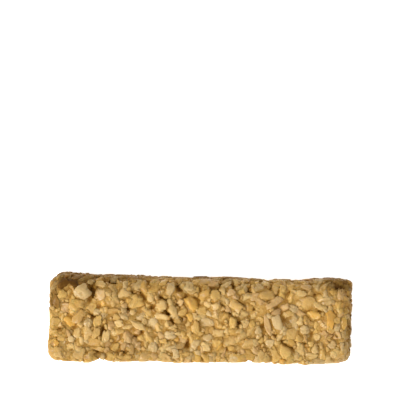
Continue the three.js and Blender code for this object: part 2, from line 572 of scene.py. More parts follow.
    def carve(self) -> dict[Cut, list[list[Shape]]]:
        """Carve every pattern.

        Returns:
            For each cut, its patterns, each as a list of shapes from the finest to the coarsest.
        """
        ball, triangles = self.ball()
        makers = {
            Cut.LUMP: self.lump,
            Cut.CHUNK: self.chunk,
            Cut.SLIVER: self.sliver,
            Cut.FLAKE: self.flake,
            Cut.PUFF: self.puff,
            Cut.FRUIT: self.fruit,
            Cut.SKIN: self.skin,
        }
        carved = {}
        for cut, count in self.patterns.items():
            points = [makers[cut](ball) for _ in range(count)]
            carved[cut] = [
                [self.thinned(each, triangles, faces) for faces in self.detail] for each in points
            ]
        return carved


# ---- Laying the bits ----------------------------------------------------------------------------


class Stuff(Enum):
    """What a bit is of. Each has a finish and a piece of its own."""

    CREAM_NUT = "cream_nut_chunks"
    TOASTED_NUT = "toasted_nut_chunks"
    ROSY_NUT = "rosy_nut_chunks"
    GRAIN = "puffed_grains"
    FLAKE = "cereal_flakes"
    FRUIT = "dried_fruit_bits"
    SKIN = "nut_skins"
    CRUMB = "crumbs"


@dataclass
class Bit:
    """One bit: what it is, how large, and how it lies against the mould."""

    stuff: Stuff
    cut: Cut
    place: np.ndarray
    size: Sides
    turn: float
    lean: float
    level: float
    press: float
    tone: float
    detail: int


@dataclass(frozen=True)
class Landmark:
    """A bit that stands out on the broad face. The turn of its long side from +x is in degrees."""

    stuff: Stuff
    cut: Cut
    x: float
    y: float
    length: float
    width: float
    turn: float = 0.0
    tone: float = 0.6
    level: float = -0.05


@dataclass(frozen=True)
class Hollow:
    """A dark gap on the broad face, which bits keep off or give way to. Its turn is in degrees."""

    x: float
    y: float
    length: float
    width: float
    turn: float = 0.0
    depth: float = 1.6

    def away(self, points: np.ndarray) -> np.ndarray:
        """Measure how far points are from the gap's middle line, seen from above.

        Args:
            points: rows that start with x and y.

        Returns:
            The distances.
        """
        turn = math.radians(self.turn)
        along = np.array([math.cos(turn), math.sin(turn)])
        offset = points[:, :2] - [self.x, self.y]
        reach = max(self.length - self.width, 0.0) / 2
        nearest = np.clip(offset @ along, -reach, reach)[:, None] * along
        return np.linalg.norm(offset - nearest, axis=1)


@dataclass(frozen=True)
class SizeClass:
    """Bits of about one size: how many at most, how deep they may lie and how finely made."""

    size: float
    count: int
    shallow: float
    deep: float
    detail: int
    closeness: float = 0.58


LANDMARKS = (
    Landmark(Stuff.GRAIN, Cut.LUMP, -40.8, 8.5, 6.4, 6.0, 20, 0.62, 0.15),
    Landmark(Stuff.ROSY_NUT, Cut.LUMP, -34.8, 7.9, 4.8, 4.5, 70, 0.8, 0.05),
    Landmark(Stuff.TOASTED_NUT, Cut.LUMP, -47.4, 7.9, 3.8, 3.4, 0, 0.6),
    Landmark(Stuff.SKIN, Cut.SKIN, -50.2, 5.2, 5.0, 2.6, 92, 0.5),
    Landmark(Stuff.SKIN, Cut.CHUNK, -48.4, 12.6, 4.6, 3.6, 25, 0.4, -0.3),
    Landmark(Stuff.SKIN, Cut.CHUNK, -44.6, 12.9, 4.8, 3.4, -10, 0.25, -0.3),
    Landmark(Stuff.SKIN, Cut.CHUNK, -41.6, 12.6, 3.0, 2.2, 5, 0.5, -0.4),
    Landmark(Stuff.GRAIN, Cut.LUMP, -37.9, 13.6, 3.0, 2.2, -10, 1.0, 0.25),
    Landmark(Stuff.CREAM_NUT, Cut.LUMP, -34.5, 12.3, 3.8, 2.8, -30, 1.0, 0.25),
    Landmark(Stuff.SKIN, Cut.CHUNK, 48.4, 12.4, 4.4, 2.4, 0, 0.3, -0.25),
    Landmark(Stuff.CREAM_NUT, Cut.LUMP, -26.3, 8.3, 4.8, 4.3, -30, 0.7),
    Landmark(Stuff.FRUIT, Cut.FRUIT, -33.0, 5.0, 3.6, 3.5, 0, 0.7, -0.3),
    Landmark(Stuff.GRAIN, Cut.PUFF, -38.5, -1.6, 3.9, 3.6, 80, 0.55),
    Landmark(Stuff.FRUIT, Cut.FRUIT, -45.5, -1.5, 5.5, 3.7, -8, 0.5),
    Landmark(Stuff.TOASTED_NUT, Cut.LUMP, -35.3, -1.3, 4.8, 2.9, 75, 0.7),
    Landmark(Stuff.SKIN, Cut.SKIN, -48.6, -4.4, 2.4, 1.3, 5, 0.2),
    Landmark(Stuff.FLAKE, Cut.FLAKE, -35.8, -5.5, 4.2, 2.7, 65, 0.6),
    Landmark(Stuff.CREAM_NUT, Cut.LUMP, -32.3, -6.3, 4.9, 3.1, 75, 0.75),
    Landmark(Stuff.TOASTED_NUT, Cut.CHUNK, -29.1, -10.6, 4.9, 4.5, 40, 0.85, 0.1),
    Landmark(Stuff.TOASTED_NUT, Cut.SLIVER, -34.6, -11.0, 4.9, 2.0, -8, 0.7),
    Landmark(Stuff.CREAM_NUT, Cut.PUFF, -45.3, -10.7, 3.7, 3.5, 0, 0.6),
    Landmark(Stuff.FRUIT, Cut.FRUIT, -50.4, -9.5, 3.6, 2.6, 88, 0.4),
    Landmark(Stuff.ROSY_NUT, Cut.LUMP, -24.8, -6.4, 4.8, 4.3, 80, 0.55),
    Landmark(Stuff.CREAM_NUT, Cut.CHUNK, -21.3, -2.4, 5.9, 2.7, -18, 0.85),
    Landmark(Stuff.CREAM_NUT, Cut.LUMP, -28.0, -1.9, 3.6, 2.9, 0, 0.85),
    Landmark(Stuff.GRAIN, Cut.PUFF, -44.7, -7.7, 2.9, 2.7, 0, 0.6),
    Landmark(Stuff.CREAM_NUT, Cut.PUFF, -13.8, 4.4, 4.8, 4.3, 35, 0.6, 0.1),
    Landmark(Stuff.CREAM_NUT, Cut.LUMP, -17.2, 7.3, 3.6, 2.9, 80, 0.55),
    Landmark(Stuff.GRAIN, Cut.CHUNK, -10.5, 10.0, 4.1, 3.1, 65, 0.85),
    Landmark(Stuff.CREAM_NUT, Cut.LUMP, -10.4, 5.7, 3.0, 2.9, 0, 0.65),
    Landmark(Stuff.ROSY_NUT, Cut.CHUNK, -7.0, 5.7, 2.5, 2.2, 60, 0.8),
    Landmark(Stuff.FRUIT, Cut.FRUIT, -2.9, 5.3, 6.3, 5.5, 95, 0.75, 0.0),
    Landmark(Stuff.FRUIT, Cut.FRUIT, -3.5, 0.7, 3.1, 2.9, 90, 0.75),
    Landmark(Stuff.CREAM_NUT, Cut.LUMP, -13.5, 0.3, 5.1, 3.1, -8, 0.85),
    Landmark(Stuff.GRAIN, Cut.PUFF, -10.2, -5.7, 4.8, 3.8, 10, 0.95, 0.05),
    Landmark(Stuff.TOASTED_NUT, Cut.CHUNK, -12.6, -7.9, 2.9, 1.9, 10, 0.6),
    Landmark(Stuff.SKIN, Cut.CHUNK, -5.6, -2.9, 4.2, 3.4, 75, 0.75, -0.8),
    Landmark(Stuff.TOASTED_NUT, Cut.LUMP, -1.3, -2.8, 5.3, 3.4, 88, 0.8),
    Landmark(Stuff.GRAIN, Cut.CHUNK, -8.1, -11.9, 3.6, 2.9, 90, 0.95),
    Landmark(Stuff.CREAM_NUT, Cut.LUMP, 2.2, -9.6, 4.1, 3.8, -25, 0.95, 0.05),
    Landmark(Stuff.GRAIN, Cut.LUMP, -0.5, -12.1, 2.8, 2.1, 0, 0.5),
    Landmark(Stuff.TOASTED_NUT, Cut.SLIVER, -4.5, -12.4, 3.7, 1.9, -5, 0.65),
    Landmark(Stuff.FLAKE, Cut.FLAKE, 12.3, 4.9, 5.0, 3.4, -40, 0.6, 0.1),
    Landmark(Stuff.CREAM_NUT, Cut.CHUNK, 2.4, 5.4, 3.1, 2.9, 90, 0.7),
    Landmark(Stuff.ROSY_NUT, Cut.LUMP, 10.6, 9.5, 3.2, 2.9, 0, 0.75),
    Landmark(Stuff.TOASTED_NUT, Cut.LUMP, 11.5, -0.7, 5.3, 3.1, 85, 0.75),
    Landmark(Stuff.FLAKE, Cut.CHUNK, 22.9, 9.2, 5.9, 4.1, 4, 0.45, 0.1),
    Landmark(Stuff.ROSY_NUT, Cut.CHUNK, 25.6, 6.3, 7.2, 2.9, 34, 0.6, 0.05),
    Landmark(Stuff.ROSY_NUT, Cut.LUMP, 29.2, 4.6, 4.1, 3.1, 10, 0.6),
    Landmark(Stuff.ROSY_NUT, Cut.SLIVER, 23.3, -1.5, 7.9, 2.5, -72, 0.45, 0.05),
    Landmark(Stuff.GRAIN, Cut.FLAKE, 26.7, -0.4, 6.2, 3.4, -70, 0.8, 0.1),
    Landmark(Stuff.GRAIN, Cut.LUMP, 24.2, -8.5, 4.3, 3.6, 85, 0.65),
    Landmark(Stuff.TOASTED_NUT, Cut.CHUNK, 29.3, -10.2, 6.2, 4.6, -60, 0.9, 0.05),
    Landmark(Stuff.GRAIN, Cut.PUFF, 36.6, -3.2, 4.3, 4.3, 0, 0.5),
    Landmark(Stuff.FRUIT, Cut.FRUIT, 39.2, 2.2, 5.5, 2.9, -6, 0.9, -0.05),
    Landmark(Stuff.FRUIT, Cut.FRUIT, 44.6, 0.8, 7.8, 3.8, 84, 0.45),
    Landmark(Stuff.TOASTED_NUT, Cut.CHUNK, 47.2, 0.7, 2.8, 2.7, 0, 0.7),
    Landmark(Stuff.ROSY_NUT, Cut.LUMP, 48.3, -4.9, 4.1, 3.6, 85, 0.55),
    Landmark(Stuff.TOASTED_NUT, Cut.PUFF, 38.7, -7.7, 2.5, 2.4, 0, 0.85),
    Landmark(Stuff.CREAM_NUT, Cut.LUMP, 41.0, -5.3, 3.6, 3.1, 90, 0.85),
    Landmark(Stuff.CREAM_NUT, Cut.CHUNK, 38.5, -12.3, 5.5, 2.7, 0, 0.6, 0.0),
    Landmark(Stuff.TOASTED_NUT, Cut.LUMP, 43.3, -11.8, 4.3, 3.6, 80, 0.75),
    Landmark(Stuff.CREAM_NUT, Cut.LUMP, 47.0, -11.7, 3.2, 3.1, 0, 0.6),
    Landmark(Stuff.ROSY_NUT, Cut.LUMP, 49.4, 9.6, 4.6, 3.6, 90, 0.6, 0.05),
    Landmark(Stuff.TOASTED_NUT, Cut.PUFF, 45.9, 10.3, 3.0, 2.9, 0, 0.7),
    Landmark(Stuff.FRUIT, Cut.FRUIT, 51.3, -0.7, 4.7, 2.3, 88, 0.95),
    Landmark(Stuff.GRAIN, Cut.SLIVER, 49.3, -8.5, 3.2, 1.4, 100, 0.95),
    Landmark(Stuff.CREAM_NUT, Cut.CHUNK, 35.0, 9.6, 3.7, 2.4, 0, 0.85),
    Landmark(Stuff.ROSY_NUT, Cut.LUMP, 36.9, 12.8, 4.8, 2.7, 0, 0.5),
    Landmark(Stuff.TOASTED_NUT, Cut.LUMP, 28.6, 12.4, 3.8, 2.7, 80, 0.7),
    Landmark(Stuff.TOASTED_NUT, Cut.LUMP, 18.0, -1.1, 3.1, 2.2, 90, 0.5),
)

HOLLOWS = (
    Hollow(-37.2, 9.2, 4.6, 1.0, 110, 1.4),
    Hollow(-31.4, 13.0, 4.6, 0.7, -5, 1.3),
    Hollow(-26.2, 13.4, 4.8, 0.6, -8, 1.0),
    Hollow(-23.2, 9.8, 2.0, 0.8, 80, 1.0),
    Hollow(-20.0, 8.2, 4.8, 0.7, -60, 1.0),
    Hollow(-18.3, 12.3, 1.2, 0.9, 0, 1.4),
    Hollow(-24.9, 3.4, 3.4, 0.8, 88, 1.0),
    Hollow(-37.1, 0.9, 2.8, 0.6, -25, 0.9),
    Hollow(-33.7, -5.1, 4.6, 0.6, 80, 1.0),
    Hollow(-22.8, -6.7, 1.6, 0.8, 20, 1.2),
    Hollow(-20.0, -4.6, 1.8, 0.7, 20, 1.0),
    Hollow(-25.8, -12.1, 2.6, 1.2, 60, 1.4),
    Hollow(-35.0, -12.5, 2.6, 1.0, 0, 1.6),
    Hollow(-44.4, -11.4, 1.6, 0.8, 20, 1.2),
    Hollow(-48.8, -3.8, 1.8, 0.7, 10, 1.0),
    Hollow(-16.8, 4.0, 2.0, 0.6, 80, 1.0),
    Hollow(-13.0, 7.0, 3.2, 0.6, -25, 1.2),
    Hollow(-11.2, 4.7, 2.2, 0.7, -75, 1.2),
    Hollow(-11.6, 2.1, 3.2, 1.0, -40, 1.6),
    Hollow(-9.6, -0.7, 2.4, 0.7, -65, 1.4),
    Hollow(-8.2, 5.0, 1.8, 0.8, 15, 1.2),
    Hollow(-6.5, -0.1, 1.0, 0.7, 0, 1.3),
    Hollow(-7.6, 11.8, 3.2, 1.2, -50, 1.4),
    Hollow(-5.4, 7.9, 1.8, 0.8, -80, 1.2),
    Hollow(-4.1, -8.7, 4.4, 0.9, 85, 1.2),
    Hollow(-0.4, 9.5, 3.4, 0.6, 85, 1.0),
    Hollow(-1.2, 7.1, 2.4, 0.6, -40, 0.9),
    Hollow(-0.5, 4.8, 0.9, 0.6, 0, 1.2),
    Hollow(4.6, 10.9, 3.0, 1.3, 0, 2.0),
    Hollow(4.5, 6.4, 1.6, 0.6, 80, 1.0),
    Hollow(7.3, 5.5, 3.6, 0.5, -35, 1.0),
    Hollow(9.5, 2.5, 3.8, 0.5, -15, 1.0),
    Hollow(6.8, 12.7, 1.4, 0.6, 60, 1.2),
    Hollow(11.2, 12.1, 1.6, 0.6, 85, 1.2),
    Hollow(24.4, 11.9, 1.8, 0.6, 80, 1.2),
    Hollow(27.0, 9.7, 2.2, 0.5, 75, 1.0),
    Hollow(30.7, 9.7, 2.8, 0.5, 80, 1.1),
    Hollow(13.2, -0.8, 4.2, 0.8, -85, 1.2),
    Hollow(9.3, -10.0, 4.4, 0.6, -45, 0.9),
    Hollow(16.9, 10.4, 3.0, 1.5, 90, 1.6),
    Hollow(24.1, 6.4, 0.9, 0.6, 0, 1.2),
    Hollow(18.6, 3.8, 0.9, 0.6, 0, 1.2),
    Hollow(26.0, -5.0, 1.2, 0.6, 0, 1.2),
    Hollow(22.0, -5.5, 0.9, 0.6, 0, 1.0),
    Hollow(36.3, -7.7, 1.3, 0.9, 60, 1.4),
    Hollow(30.6, -8.8, 6.0, 0.6, -37, 1.0),
    Hollow(41.0, 9.8, 2.2, 0.9, -10, 1.3),
    Hollow(47.8, 11.6, 3.0, 1.0, 0, 1.2),
    Hollow(37.7, 3.7, 1.0, 0.6, 0, 0.9),
    Hollow(41.8, 3.5, 1.0, 0.7, 0, 1.0),
    Hollow(47.2, -4.8, 1.6, 0.6, -45, 1.2),
    Hollow(34.2, -14.1, 2.6, 0.7, 0, 1.2),
    Hollow(2.5, -8.0, 3.0, 0.5, -30, 0.8),
    Hollow(13.4, 5.8, 4.2, 0.5, -28, 0.9),
)

UNDER_CLASSES = (
    SizeClass(4.6, 220, -0.45, -0.8, 2, 0.62),
    SizeClass(3.4, 500, -0.5, -0.9, 3, 0.62),
)

SIZE_CLASSES = (
    SizeClass(6.8, 40, 0.08, -0.1, 0),
    SizeClass(5.7, 160, 0.08, -0.14, 0),
    SizeClass(4.7, 500, 0.08, -0.2, 1),
    SizeClass(3.6, 1000, 0.06, -0.24, 1),
    SizeClass(2.6, 1100, 0.0, -0.28, 2, 0.55),
    SizeClass(1.7, 550, -0.05, -0.3, 3, 0.54),
)

MIX = {
    (Stuff.CREAM_NUT, Cut.LUMP): 22,
    (Stuff.CREAM_NUT, Cut.CHUNK): 12,
    (Stuff.TOASTED_NUT, Cut.LUMP): 18,
    (Stuff.TOASTED_NUT, Cut.CHUNK): 9,
    (Stuff.ROSY_NUT, Cut.LUMP): 8,
    (Stuff.ROSY_NUT, Cut.CHUNK): 3,
    (Stuff.ROSY_NUT, Cut.SLIVER): 1.5,
    (Stuff.GRAIN, Cut.PUFF): 5,
    (Stuff.GRAIN, Cut.LUMP): 7,
    (Stuff.GRAIN, Cut.CHUNK): 3,
    (Stuff.FLAKE, Cut.FLAKE): 5,
    (Stuff.FRUIT, Cut.FRUIT): 2.8,
    (Stuff.SKIN, Cut.SKIN): 0.25,
}


@dataclass(frozen=True)
class ShadeAndBrowningPatch:
    """A darkened patch: painted shade along the rims and ends that turn away from the lamp, and
    browner at a few spots.
    """

    x: float
    y: float
    length: float
    width: float
    strength: float

    def at(self, points: np.ndarray) -> np.ndarray:
        """Give how dark points are, from 0 to the strength."""
        offset = (points[:, :2] - [self.x, self.y]) / [self.length, self.width]
        return self.strength * np.exp(-(offset**2).sum(axis=1))


# Painted shade on the back rim and strip, the back right corner, both ends and the front edge; browner
# spots elsewhere.
SHADE_AND_BROWNING_PATCHES = (
    ShadeAndBrowningPatch(-45.0, 14.6, 5.8, 3.1, 1.85),
    ShadeAndBrowningPatch(-51.2, 6.4, 2.0, 3.2, 0.8),
    ShadeAndBrowningPatch(-36.6, 10.2, 1.5, 2.6, 1.1),
    ShadeAndBrowningPatch(-4.6, 9.8, 4.5, 3.0, 0.3),
    ShadeAndBrowningPatch(48.3, 12.6, 3.0, 1.8, 2.5),
    ShadeAndBrowningPatch(-6.0, -2.0, 1.8, 2.6, 0.7),
    ShadeAndBrowningPatch(0.0, 15.0, 90.0, 1.2, 1.45),
    ShadeAndBrowningPatch(0.0, 11.2, 90.0, 3.4, 0.2),
    ShadeAndBrowningPatch(49.6, 0.0, 2.8, 14.0, 0.2),
    ShadeAndBrowningPatch(0.0, -14.5, 90.0, 2.2, 0.22),
    ShadeAndBrowningPatch(53.0, 0.0, 1.6, 14.0, 0.9),
    ShadeAndBrowningPatch(-53.0, 0.0, 1.5, 14.0, 0.6),
    ShadeAndBrowningPatch(-31.0, -11.5, 10.0, 3.5, 0.35),
)

MOST_SHADE_AND_BROWNING = 1.6


def shade_and_browning_at(points: np.ndarray) -> np.ndarray:
    """Give how dark points are, with painted shade on the rims and ends and browner spots, from 0, not
    at all, to 1 and over, fully.
    """
    return np.clip(sum(shade_patch.at(points) for shade_patch in SHADE_AND_BROWNING_PATCHES), 0, MOST_SHADE_AND_BROWNING)


@dataclass
class Packing:
    """Lays the bits in the mould: a layer deeper in, the ones that stand out, then the others."""

    mould: Mould
    rng: np.random.Generator
    spots: int = 26000
    coarser_below: int = 2
    face_tilt: float = 0.3
    side_tilt: float = 0.5
    closeness: float = 0.58
    trials: int = 10
    hollow_room: float = 0.62
    back_relief: float = 1.2
    landmark_room: float = 1.62
    landmark_rise: float = 0.1
    landmark_press: float = 0.3
    landmark_lean: float = 9.0
    flake_thickness: float = 1.6
    skin_thickness: float = 0.6
    landmark_thinness: float = 0.85
    largest_crumb: float = 2.0
    lean: float = 25.0
    thinness: Span = (0.75, 1.1)
    flake_thinness: float = 0.34
    skin_thinness: float = 0.12
    stretch: Span = (1.0, 1.25)
    sliver_stretch: float = 1.6
    flake_stretch: float = 1.15
    puff_stretch: float = 1.12
    spread: Span = (0.88, 1.12)
    most_press: float = 0.3
    side_rise: float = 0.25
    relief_from: float = 2.0
    relief_over: float = 8.0
    middle_tone: float = 0.5
    tone_spread: float = 0.22
    bits: list[Bit] = field(default_factory=list)

    def __post_init__(self) -> None:
        """Draw the spots where bits may be laid, evenly over the mould."""
        size = np.array([self.mould.length, self.mould.width, self.mould.thickness])
        areas = np.array([size[1] * size[2], size[0] * size[2], size[0] * size[1]])
        axis = self.rng.choice(3, self.spots, p=areas / areas.sum())
        spots = self.rng.uniform(-0.5, 0.5, (self.spots, 3))
        rows = np.arange(self.spots)
        spots[rows, axis] = np.where(self.rng.random(self.spots) < 0.5, -0.5, 0.5)
        spots = spots * size + [0, 0, size[2] / 2]
        self.places = self.mould.onto(spots)
        self.facing = self.mould.normal(self.places)[:, 2]
        self.room = np.full(self.spots, np.inf)

    def take(self, place: np.ndarray, reach: float) -> None:
        """Note that a bit lies at a place, so that others keep off it."""
        away = np.linalg.norm(self.places - place, axis=1) - self.closeness * reach / 2
        self.room = np.minimum(self.room, away)

    def keep_hollows(self) -> None:
        """Keep the dark hollows free of bits."""
        upward = self.facing > self.face_tilt
        for gap in HOLLOWS:
            clear = (gap.away(self.places) - gap.width / 2) * self.closeness / self.hollow_room
            self.room = np.where(upward, np.minimum(self.room, clear), self.room)

    def lay_under(self) -> None:
        """Lay a first layer of bits deeper in, which shows where the others leave gaps."""
        underneath = self.facing < -self.face_tilt
        self.room[underneath] = 0.0
        self.keep_hollows()
        self.scatter(UNDER_CLASSES)
        self.room[:] = np.inf

    def lay_landmarks(self) -> None:
        """Lay the bits that stand out."""
        flat = {Cut.FLAKE: self.flake_thickness, Cut.SKIN: self.skin_thickness}
        for mark in LANDMARKS:
            place = self.mould.onto(np.array([[mark.x, mark.y, self.mould.thickness]]))[0]
            thickness = flat.get(mark.cut, self.landmark_thinness * mark.width)
            self.bits.append(
                Bit(
                    stuff=mark.stuff,
                    cut=mark.cut,
                    place=place,
                    size=(mark.length, mark.width, thickness),
                    turn=math.radians(mark.turn),
                    lean=math.radians(self.rng.uniform(0, self.landmark_lean)),
                    level=mark.level + self.landmark_rise,
                    press=self.landmark_press,
                    tone=mark.tone,
                    detail=0,
                )
            )
            self.take(place, self.landmark_room * (mark.length + mark.width) / 2)

    def scatter(self, groups: tuple[SizeClass, ...]) -> None:
        """Lay bits, the largest first, each at the tightest of some spots with room for it.

        Args:
            groups: the classes of sizes.
        """
        kinds = list(MIX)
        odds = np.array(list(MIX.values()), dtype=float)
        odds /= odds.sum()
        for group in groups:
            for _ in range(group.count):
                size = group.size * self.rng.uniform(*self.spread)
                free = np.flatnonzero(self.room > group.closeness * size / 2)
                if not len(free):
                    break
                tried = self.rng.choice(free, self.trials)
                spot = tried[np.argmin(self.room[tried])]
                stuff, cut = kinds[self.rng.choice(len(kinds), p=odds)]
                self.lay(stuff, cut, spot, size, group)

    def lay(self, stuff: Stuff, cut: Cut, spot: int, size: float, group: SizeClass) -> None:
        """Lay one bit at a spot.

        Args:
            stuff: what it is of.
            cut: its shape.
            spot: which spot on the mould.
            size: its mean width.
            group: the class of sizes that it is in.
        """
        rng, place, facing = self.rng, self.places[spot], self.facing[spot]
        upward, underneath = facing > self.side_tilt, facing < -self.side_tilt
        if group.size < self.largest_crumb and stuff is not Stuff.SKIN:
            stuff = Stuff.CRUMB
        thins = {Cut.FLAKE: self.flake_thinness, Cut.SKIN: self.skin_thinness}
        thin = thins.get(cut, rng.uniform(*self.thinness))
        longs = {
            Cut.SLIVER: self.sliver_stretch,
            Cut.FLAKE: self.flake_stretch,
            Cut.PUFF: self.puff_stretch,
        }
        long = longs.get(cut, rng.uniform(*self.stretch))
        lean = math.radians(abs(rng.normal(0, self.lean)))
        rise = 0.0 if upward or underneath else self.side_rise
        level = rng.uniform(group.deep, group.shallow + rise)
        detail = group.detail + (self.coarser_below if underneath else 0)
        towards_back = np.clip((place[1] - self.relief_from) / self.relief_over, 0, 1)
        level *= 1 + self.back_relief * towards_back * upward
        press = rng.uniform(0, self.most_press)
        tone = float(np.clip(rng.normal(self.middle_tone, self.tone_spread), 0, 1))
        self.bits.append(
            Bit(
                stuff=stuff,
                cut=cut,
                place=place,
                size=(size * long, size / long, size * thin),
                turn=rng.uniform(0, 2 * math.pi),
                lean=lean,
                level=level,
                press=press,
                tone=tone,
                detail=min(detail, len(Carver.detail) - 1),
            )
        )
        self.take(place, size)


# ---- Meshes -------------------------------------------------------------------------------------


@dataclass
class Assembled:
    """Bits of one kind joined into one mesh, with what their finish needs at each point."""

    name: str
    points: list[np.ndarray] = field(default_factory=list)
    triangles: list[np.ndarray] = field(default_factory=list)
    marks: dict[str, list[np.ndarray]] = field(
        default_factory=lambda: {"tone": [], "sink": [], "browned": [], "lot": []}
    )
    total: int = 0

    def add(self, points: np.ndarray, triangles: np.ndarray, **marks: np.ndarray) -> None:
        """Add one bit.

        Args:
            points: its points, in millimetres.
            triangles: its triangles.
            marks: a number for each point, under each name.
        """
        self.points.append(points)
        self.triangles.append(triangles + self.total)
        for name, values in marks.items():
            self.marks[name].append(values)
        self.total += len(points)

    def piece(self, material: bpy.types.Material) -> bpy.types.Object:
        """Make the piece.

        Args:
            material: its finish.

        Returns:
            The Blender object, riding on the bar's body and standing for the bar's solid.
        """
        points = np.concatenate(self.points) * MM
        triangles = np.concatenate(self.triangles)
        mesh = bpy.data.meshes.new(self.name)
        mesh.vertices.add(len(points))
        mesh.vertices.foreach_set("co", points.ravel())
        mesh.loops.add(triangles.size)
        mesh.loops.foreach_set("vertex_index", triangles.ravel().astype(np.int32))
        mesh.polygons.add(len(triangles))
        mesh.polygons.foreach_set("loop_start", np.arange(0, triangles.size, 3, dtype=np.int32))
        mesh.polygons.foreach_set("use_smooth", np.ones(len(triangles), dtype=bool))
        for name, values in self.marks.items():
            mark = mesh.attributes.new(name, "FLOAT", "POINT")
            mark.data.foreach_set("value", np.concatenate(values).astype(np.float32))
        mesh.update(calc_edges=True)
        mesh.validate()
        mesh.materials.append(material)
        piece = bpy.data.objects.new(self.name, mesh)
        bpy.context.scene.collection.objects.link(piece)
        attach(piece, BODY)
        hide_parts(NODE)
        log.info("%s: %d triangles", self.name, len(triangles))
        return piece


@dataclass(frozen=True)
class Laid:
    """A bit where it lies: its points and triangles."""

    bit: Bit
    points: np.ndarray
    triangles: np.ndarray


@dataclass
class Filling:
    """All the bits of the bar, laid in the mould and joined by what they are of."""

    mould: Mould
    rng: np.random.Generator
    # How strongly the painted shade and browning shows on each bit, varying at random between bits.
    least_shade_and_browning: float = 0.6
    shade_and_browning_spread: float = 0.8
    bit_reach: float = 6.0
    parting: float = 0.65
    deepest_parting: float = 1.8

    def turned(self, bit: Bit, points: np.ndarray) -> tuple[np.ndarray, np.ndarray]:
        """Turn a bit's points the way that it lies.

        Args:
            bit: the bit.
            points: its shape's points.

        Returns:
            The turned points about the bit's middle, and the mould's normal there.
        """
        normal = self.mould.normal(bit.place[None])[0]
        faces_an_end = abs(normal[0]) > 0.7
        side = np.array([0.0, 1.0, 0.0] if faces_an_end else [1.0, 0.0, 0.0])
        side = unit(side - normal * (side @ normal))
        basis = np.stack([side, np.cross(normal, side), normal])
        cos, sin = math.cos(bit.turn), math.sin(bit.turn)
        spin = np.array([[cos, sin, 0], [-sin, cos, 0], [0, 0, 1]])
        heading = self.rng.uniform(0, 2 * math.pi)
        axis = np.array([math.cos(heading), math.sin(heading), 0])
        cross = np.cross(np.eye(3), axis)
        lean = np.eye(3) + math.sin(bit.lean) * cross + (1 - math.cos(bit.lean)) * cross @ cross
        return points * bit.size @ spin @ lean @ basis, normal

    def laid(self, bit: Bit, shape: Shape) -> Laid:
        """Lay a shape against the mould and press it flat there.

        Args:
            bit: the bit.
            shape: its shape.

        Returns:
            The bit where it lies.
        """
        points, normal = self.turned(bit, shape.points)
        top = (points @ normal).max()
        points = points + bit.place + normal * (bit.level + bit.press - top)
        level = np.full(len(points), bit.level)
        if bit.place[2] > self.mould.thickness / 2:
            level = level - self.parted(bit, points)
        points = self.mould.press(points, level)
        return Laid(bit, points, shape.triangles)

    def parted(self, bit: Bit, points: np.ndarray) -> np.ndarray:
        """Tell how far a bit gives way where a dark hollow runs beside or over it.

        Args:
            bit: the bit.
            points: its points.

        Returns:
            The depth to press each point by.
        """
        depth = np.zeros(len(points))
        for gap in HOLLOWS:
            between = math.hypot(gap.x - bit.place[0], gap.y - bit.place[1])
            if between < self.bit_reach + gap.length / 2:
                share = np.exp(-((gap.away(points) / (self.parting * gap.width)) ** 2))
                depth = np.maximum(depth, min(gap.depth, self.deepest_parting) * share)
        return depth

    def fill(self, bits: list[Bit], shapes: dict[Cut, list[list[Shape]]]) -> list[Laid]:
        """Lay all the bits, each in one of its cut's patterns.

        Args:
            bits: all the bits.
            shapes: the carved shapes.

        Returns:
            The bits where they lie.
        """
        laid = []
        for bit in bits:
            patterns = shapes[bit.cut]
            laid.append(self.laid(bit, patterns[self.rng.integers(len(patterns))][bit.detail]))
        return laid

    def join(self, laid: list[Laid], binder: "Binder") -> dict[Stuff, Assembled]:
        """Join the bits by what they are of.

        Args:
            laid: the bits where they lie.
            binder: the syrup that has settled round them.

        Returns:
            The joined meshes.
        """
        heaps = {stuff: Assembled(stuff.value) for stuff in Stuff}
        for each in laid:
            lot = self.rng.random()
            # Painted shade on the rims and ends and browner spots, averaged over each point and the
            # bit's middle.
            browned = (shade_and_browning_at(each.points) + shade_and_browning_at(each.bit.place[None])) / 2
            heaps[each.bit.stuff].add(
                each.points,
                each.triangles,
                tone=np.full(len(each.points), each.bit.tone),
                browned=browned * (self.least_shade_and_browning + self.shade_and_browning_spread * lot),
                sink=binder.syrup_and_crevice_shade_at(each.points),
                lot=np.full(len(each.points), lot),
            )
        return heaps


